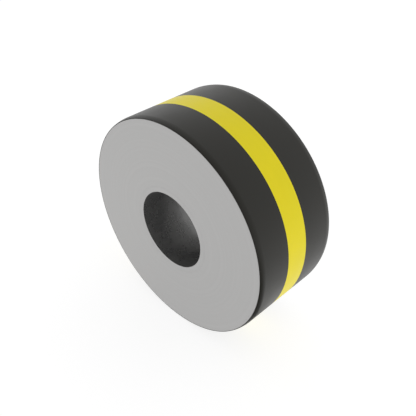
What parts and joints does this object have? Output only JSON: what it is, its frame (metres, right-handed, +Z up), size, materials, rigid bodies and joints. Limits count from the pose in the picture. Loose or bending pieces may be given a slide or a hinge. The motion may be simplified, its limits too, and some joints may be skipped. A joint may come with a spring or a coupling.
{
  "type": "track roller",
  "caption": "Sealed track roller: a hard black tread with a flush yellow centre band turns between two steel side plates on tapered roller bearings, with a through bore for its axle.",
  "frame": {"origin": "centre of the axle bore, halfway between the two side plates", "axes": "+Y along the axle towards the inboard side, +Z up, +X across the wheel; the outboard side is -Y"},
  "size_m": [0.185, 0.08, 0.185],
  "materials": {
    "plate_steel": "ground, satin",
    "sleeve_steel": "ground ends, darkened bore",
    "tread_black": "smooth moulded hard polyurethane, semi-gloss",
    "band_yellow": "smooth moulded hard polyurethane, semi-gloss",
    "hub_steel": "turned",
    "bearing_steel": "ground and polished",
    "ring_steel": "hardened and ground",
    "cage_polyamide": "moulded, glass filled",
    "seal_rubber": "moulded nitrile",
    "case_steel": "pressed sheet",
    "spring_steel": "drawn wire"
  },
  "bodies": {
    "axle": {"axle_sleeve": "sleeve_steel", "cone_spacer": "ring_steel", "inboard_o_ring": "seal_rubber", "inboard_bearing_cone": "bearing_steel", "inboard_seal_wear_ring": "ring_steel", "inboard_side_plate": "plate_steel", "outboard_o_ring": "seal_rubber", "outboard_bearing_cone": "bearing_steel", "outboard_seal_wear_ring": "ring_steel", "outboard_side_plate": "plate_steel"},
    "wheel": {"hub_shell": "hub_steel", "centre_band": "band_yellow", "inboard_tread_ring": "tread_black", "inboard_bearing_cup": "bearing_steel", "inboard_seal_case": "case_steel", "inboard_seal_lip": "seal_rubber", "inboard_garter_spring": "spring_steel", "outboard_tread_ring": "tread_black", "outboard_bearing_cup": "bearing_steel", "outboard_seal_case": "case_steel", "outboard_seal_lip": "seal_rubber", "outboard_garter_spring": "spring_steel"},
    "inboard_cage": {"inboard_cage": "cage_polyamide"},
    "inboard_roller_01": {"inboard_roller_01": "bearing_steel"},
    "inboard_roller_02": {"inboard_roller_02": "bearing_steel"},
    "inboard_roller_03": {"inboard_roller_03": "bearing_steel"},
    "inboard_roller_04": {"inboard_roller_04": "bearing_steel"},
    "inboard_roller_05": {"inboard_roller_05": "bearing_steel"},
    "inboard_roller_06": {"inboard_roller_06": "bearing_steel"},
    "inboard_roller_07": {"inboard_roller_07": "bearing_steel"},
    "inboard_roller_08": {"inboard_roller_08": "bearing_steel"},
    "inboard_roller_09": {"inboard_roller_09": "bearing_steel"},
    "inboard_roller_10": {"inboard_roller_10": "bearing_steel"},
    "inboard_roller_11": {"inboard_roller_11": "bearing_steel"},
    "inboard_roller_12": {"inboard_roller_12": "bearing_steel"},
    "inboard_roller_13": {"inboard_roller_13": "bearing_steel"},
    "inboard_roller_14": {"inboard_roller_14": "bearing_steel"},
    "inboard_roller_15": {"inboard_roller_15": "bearing_steel"},
    "inboard_roller_16": {"inboard_roller_16": "bearing_steel"},
    "inboard_roller_17": {"inboard_roller_17": "bearing_steel"},
    "outboard_cage": {"outboard_cage": "cage_polyamide"},
    "outboard_roller_01": {"outboard_roller_01": "bearing_steel"},
    "outboard_roller_02": {"outboard_roller_02": "bearing_steel"},
    "outboard_roller_03": {"outboard_roller_03": "bearing_steel"},
    "outboard_roller_04": {"outboard_roller_04": "bearing_steel"},
    "outboard_roller_05": {"outboard_roller_05": "bearing_steel"},
    "outboard_roller_06": {"outboard_roller_06": "bearing_steel"},
    "outboard_roller_07": {"outboard_roller_07": "bearing_steel"},
    "outboard_roller_08": {"outboard_roller_08": "bearing_steel"},
    "outboard_roller_09": {"outboard_roller_09": "bearing_steel"},
    "outboard_roller_10": {"outboard_roller_10": "bearing_steel"},
    "outboard_roller_11": {"outboard_roller_11": "bearing_steel"},
    "outboard_roller_12": {"outboard_roller_12": "bearing_steel"},
    "outboard_roller_13": {"outboard_roller_13": "bearing_steel"},
    "outboard_roller_14": {"outboard_roller_14": "bearing_steel"},
    "outboard_roller_15": {"outboard_roller_15": "bearing_steel"},
    "outboard_roller_16": {"outboard_roller_16": "bearing_steel"},
    "outboard_roller_17": {"outboard_roller_17": "bearing_steel"}
  },
  "joints": [
    {"name": "wheel_spin", "type": "hinge", "parent": "axle", "child": "wheel", "pos_m": [0, 0, 0], "axis": [0, 1, 0], "continuous": true},
    {"name": "inboard_cage_spin", "type": "hinge", "parent": "axle", "child": "inboard_cage", "pos_m": [0, 0, 0], "axis": [0, 1, 0], "continuous": true},
    {"name": "inboard_roller_01_spin", "type": "hinge", "parent": "inboard_cage", "child": "inboard_roller_01", "pos_m": [0.0545, 0.0165, 0], "axis": [0.2419, 0.9703, 0], "continuous": true},
    {"name": "inboard_roller_02_spin", "type": "hinge", "parent": "inboard_cage", "child": "inboard_roller_02", "pos_m": [0.05082, 0.0165, 0.01969], "axis": [0.2256, 0.9703, 0.0874], "continuous": true},
    {"name": "inboard_roller_03_spin", "type": "hinge", "parent": "inboard_cage", "child": "inboard_roller_03", "pos_m": [0.04028, 0.0165, 0.03672], "axis": [0.1788, 0.9703, 0.163], "continuous": true},
    {"name": "inboard_roller_04_spin", "type": "hinge", "parent": "inboard_cage", "child": "inboard_roller_04", "pos_m": [0.02429, 0.0165, 0.04879], "axis": [0.1078, 0.9703, 0.2166], "continuous": true},
    {"name": "inboard_roller_05_spin", "type": "hinge", "parent": "inboard_cage", "child": "inboard_roller_05", "pos_m": [0.00503, 0.0165, 0.05427], "axis": [0.0223, 0.9703, 0.2409], "continuous": true},
    {"name": "inboard_roller_06_spin", "type": "hinge", "parent": "inboard_cage", "child": "inboard_roller_06", "pos_m": [-0.01491, 0.0165, 0.05242], "axis": [-0.0662, 0.9703, 0.2327], "continuous": true},
    {"name": "inboard_roller_07_spin", "type": "hinge", "parent": "inboard_cage", "child": "inboard_roller_07", "pos_m": [-0.03284, 0.0165, 0.04349], "axis": [-0.1458, 0.9703, 0.1931], "continuous": true},
    {"name": "inboard_roller_08_spin", "type": "hinge", "parent": "inboard_cage", "child": "inboard_roller_08", "pos_m": [-0.04634, 0.0165, 0.02869], "axis": [-0.2057, 0.9703, 0.1274], "continuous": true},
    {"name": "inboard_roller_09_spin", "type": "hinge", "parent": "inboard_cage", "child": "inboard_roller_09", "pos_m": [-0.05357, 0.0165, 0.01001], "axis": [-0.2378, 0.9703, 0.0445], "continuous": true},
    {"name": "inboard_roller_10_spin", "type": "hinge", "parent": "inboard_cage", "child": "inboard_roller_10", "pos_m": [-0.05357, 0.0165, -0.01001], "axis": [-0.2378, 0.9703, -0.0445], "continuous": true},
    {"name": "inboard_roller_11_spin", "type": "hinge", "parent": "inboard_cage", "child": "inboard_roller_11", "pos_m": [-0.04634, 0.0165, -0.02869], "axis": [-0.2057, 0.9703, -0.1274], "continuous": true},
    {"name": "inboard_roller_12_spin", "type": "hinge", "parent": "inboard_cage", "child": "inboard_roller_12", "pos_m": [-0.03284, 0.0165, -0.04349], "axis": [-0.1458, 0.9703, -0.1931], "continuous": true},
    {"name": "inboard_roller_13_spin", "type": "hinge", "parent": "inboard_cage", "child": "inboard_roller_13", "pos_m": [-0.01491, 0.0165, -0.05242], "axis": [-0.0662, 0.9703, -0.2327], "continuous": true},
    {"name": "inboard_roller_14_spin", "type": "hinge", "parent": "inboard_cage", "child": "inboard_roller_14", "pos_m": [0.00503, 0.0165, -0.05427], "axis": [0.0223, 0.9703, -0.2409], "continuous": true},
    {"name": "inboard_roller_15_spin", "type": "hinge", "parent": "inboard_cage", "child": "inboard_roller_15", "pos_m": [0.02429, 0.0165, -0.04879], "axis": [0.1078, 0.9703, -0.2166], "continuous": true},
    {"name": "inboard_roller_16_spin", "type": "hinge", "parent": "inboard_cage", "child": "inboard_roller_16", "pos_m": [0.04028, 0.0165, -0.03672], "axis": [0.1788, 0.9703, -0.163], "continuous": true},
    {"name": "inboard_roller_17_spin", "type": "hinge", "parent": "inboard_cage", "child": "inboard_roller_17", "pos_m": [0.05082, 0.0165, -0.01969], "axis": [0.2256, 0.9703, -0.0874], "continuous": true},
    {"name": "outboard_cage_spin", "type": "hinge", "parent": "axle", "child": "outboard_cage", "pos_m": [0, 0, 0], "axis": [0, 1, 0], "continuous": true},
    {"name": "outboard_roller_01_spin", "type": "hinge", "parent": "outboard_cage", "child": "outboard_roller_01", "pos_m": [0.0545, -0.0165, 0], "axis": [-0.2419, 0.9703, 0], "continuous": true},
    {"name": "outboard_roller_02_spin", "type": "hinge", "parent": "outboard_cage", "child": "outboard_roller_02", "pos_m": [0.05082, -0.0165, 0.01969], "axis": [-0.2256, 0.9703, -0.0874], "continuous": true},
    {"name": "outboard_roller_03_spin", "type": "hinge", "parent": "outboard_cage", "child": "outboard_roller_03", "pos_m": [0.04028, -0.0165, 0.03672], "axis": [-0.1788, 0.9703, -0.163], "continuous": true},
    {"name": "outboard_roller_04_spin", "type": "hinge", "parent": "outboard_cage", "child": "outboard_roller_04", "pos_m": [0.02429, -0.0165, 0.04879], "axis": [-0.1078, 0.9703, -0.2166], "continuous": true},
    {"name": "outboard_roller_05_spin", "type": "hinge", "parent": "outboard_cage", "child": "outboard_roller_05", "pos_m": [0.00503, -0.0165, 0.05427], "axis": [-0.0223, 0.9703, -0.2409], "continuous": true},
    {"name": "outboard_roller_06_spin", "type": "hinge", "parent": "outboard_cage", "child": "outboard_roller_06", "pos_m": [-0.01491, -0.0165, 0.05242], "axis": [0.0662, 0.9703, -0.2327], "continuous": true},
    {"name": "outboard_roller_07_spin", "type": "hinge", "parent": "outboard_cage", "child": "outboard_roller_07", "pos_m": [-0.03284, -0.0165, 0.04349], "axis": [0.1458, 0.9703, -0.1931], "continuous": true},
    {"name": "outboard_roller_08_spin", "type": "hinge", "parent": "outboard_cage", "child": "outboard_roller_08", "pos_m": [-0.04634, -0.0165, 0.02869], "axis": [0.2057, 0.9703, -0.1274], "continuous": true},
    {"name": "outboard_roller_09_spin", "type": "hinge", "parent": "outboard_cage", "child": "outboard_roller_09", "pos_m": [-0.05357, -0.0165, 0.01001], "axis": [0.2378, 0.9703, -0.0445], "continuous": true},
    {"name": "outboard_roller_10_spin", "type": "hinge", "parent": "outboard_cage", "child": "outboard_roller_10", "pos_m": [-0.05357, -0.0165, -0.01001], "axis": [0.2378, 0.9703, 0.0445], "continuous": true},
    {"name": "outboard_roller_11_spin", "type": "hinge", "parent": "outboard_cage", "child": "outboard_roller_11", "pos_m": [-0.04634, -0.0165, -0.02869], "axis": [0.2057, 0.9703, 0.1274], "continuous": true},
    {"name": "outboard_roller_12_spin", "type": "hinge", "parent": "outboard_cage", "child": "outboard_roller_12", "pos_m": [-0.03284, -0.0165, -0.04349], "axis": [0.1458, 0.9703, 0.1931], "continuous": true},
    {"name": "outboard_roller_13_spin", "type": "hinge", "parent": "outboard_cage", "child": "outboard_roller_13", "pos_m": [-0.01491, -0.0165, -0.05242], "axis": [0.0662, 0.9703, 0.2327], "continuous": true},
    {"name": "outboard_roller_14_spin", "type": "hinge", "parent": "outboard_cage", "child": "outboard_roller_14", "pos_m": [0.00503, -0.0165, -0.05427], "axis": [-0.0223, 0.9703, 0.2409], "continuous": true},
    {"name": "outboard_roller_15_spin", "type": "hinge", "parent": "outboard_cage", "child": "outboard_roller_15", "pos_m": [0.02429, -0.0165, -0.04879], "axis": [-0.1078, 0.9703, 0.2166], "continuous": true},
    {"name": "outboard_roller_16_spin", "type": "hinge", "parent": "outboard_cage", "child": "outboard_roller_16", "pos_m": [0.04028, -0.0165, -0.03672], "axis": [-0.1788, 0.9703, 0.163], "continuous": true},
    {"name": "outboard_roller_17_spin", "type": "hinge", "parent": "outboard_cage", "child": "outboard_roller_17", "pos_m": [0.05082, -0.0165, -0.01969], "axis": [-0.2256, 0.9703, 0.0874], "continuous": true}
  ],
  "couplings": [
    {"joint": "inboard_cage_spin", "follows": "wheel_spin", "ratio": 0.56498},
    {"joint": "inboard_roller_01_spin", "follows": "wheel_spin", "ratio": 3.6698},
    {"joint": "inboard_roller_02_spin", "follows": "wheel_spin", "ratio": 3.6698},
    {"joint": "inboard_roller_03_spin", "follows": "wheel_spin", "ratio": 3.6698},
    {"joint": "inboard_roller_04_spin", "follows": "wheel_spin", "ratio": 3.6698},
    {"joint": "inboard_roller_05_spin", "follows": "wheel_spin", "ratio": 3.6698},
    {"joint": "inboard_roller_06_spin", "follows": "wheel_spin", "ratio": 3.6698},
    {"joint": "inboard_roller_07_spin", "follows": "wheel_spin", "ratio": 3.6698},
    {"joint": "inboard_roller_08_spin", "follows": "wheel_spin", "ratio": 3.6698},
    {"joint": "inboard_roller_09_spin", "follows": "wheel_spin", "ratio": 3.6698},
    {"joint": "inboard_roller_10_spin", "follows": "wheel_spin", "ratio": 3.6698},
    {"joint": "inboard_roller_11_spin", "follows": "wheel_spin", "ratio": 3.6698},
    {"joint": "inboard_roller_12_spin", "follows": "wheel_spin", "ratio": 3.6698},
    {"joint": "inboard_roller_13_spin", "follows": "wheel_spin", "ratio": 3.6698},
    {"joint": "inboard_roller_14_spin", "follows": "wheel_spin", "ratio": 3.6698},
    {"joint": "inboard_roller_15_spin", "follows": "wheel_spin", "ratio": 3.6698},
    {"joint": "inboard_roller_16_spin", "follows": "wheel_spin", "ratio": 3.6698},
    {"joint": "inboard_roller_17_spin", "follows": "wheel_spin", "ratio": 3.6698},
    {"joint": "outboard_cage_spin", "follows": "wheel_spin", "ratio": 0.56498},
    {"joint": "outboard_roller_01_spin", "follows": "wheel_spin", "ratio": 3.6698},
    {"joint": "outboard_roller_02_spin", "follows": "wheel_spin", "ratio": 3.6698},
    {"joint": "outboard_roller_03_spin", "follows": "wheel_spin", "ratio": 3.6698},
    {"joint": "outboard_roller_04_spin", "follows": "wheel_spin", "ratio": 3.6698},
    {"joint": "outboard_roller_05_spin", "follows": "wheel_spin", "ratio": 3.6698},
    {"joint": "outboard_roller_06_spin", "follows": "wheel_spin", "ratio": 3.6698},
    {"joint": "outboard_roller_07_spin", "follows": "wheel_spin", "ratio": 3.6698},
    {"joint": "outboard_roller_08_spin", "follows": "wheel_spin", "ratio": 3.6698},
    {"joint": "outboard_roller_09_spin", "follows": "wheel_spin", "ratio": 3.6698},
    {"joint": "outboard_roller_10_spin", "follows": "wheel_spin", "ratio": 3.6698},
    {"joint": "outboard_roller_11_spin", "follows": "wheel_spin", "ratio": 3.6698},
    {"joint": "outboard_roller_12_spin", "follows": "wheel_spin", "ratio": 3.6698},
    {"joint": "outboard_roller_13_spin", "follows": "wheel_spin", "ratio": 3.6698},
    {"joint": "outboard_roller_14_spin", "follows": "wheel_spin", "ratio": 3.6698},
    {"joint": "outboard_roller_15_spin", "follows": "wheel_spin", "ratio": 3.6698},
    {"joint": "outboard_roller_16_spin", "follows": "wheel_spin", "ratio": 3.6698},
    {"joint": "outboard_roller_17_spin", "follows": "wheel_spin", "ratio": 3.6698}
  ]
}
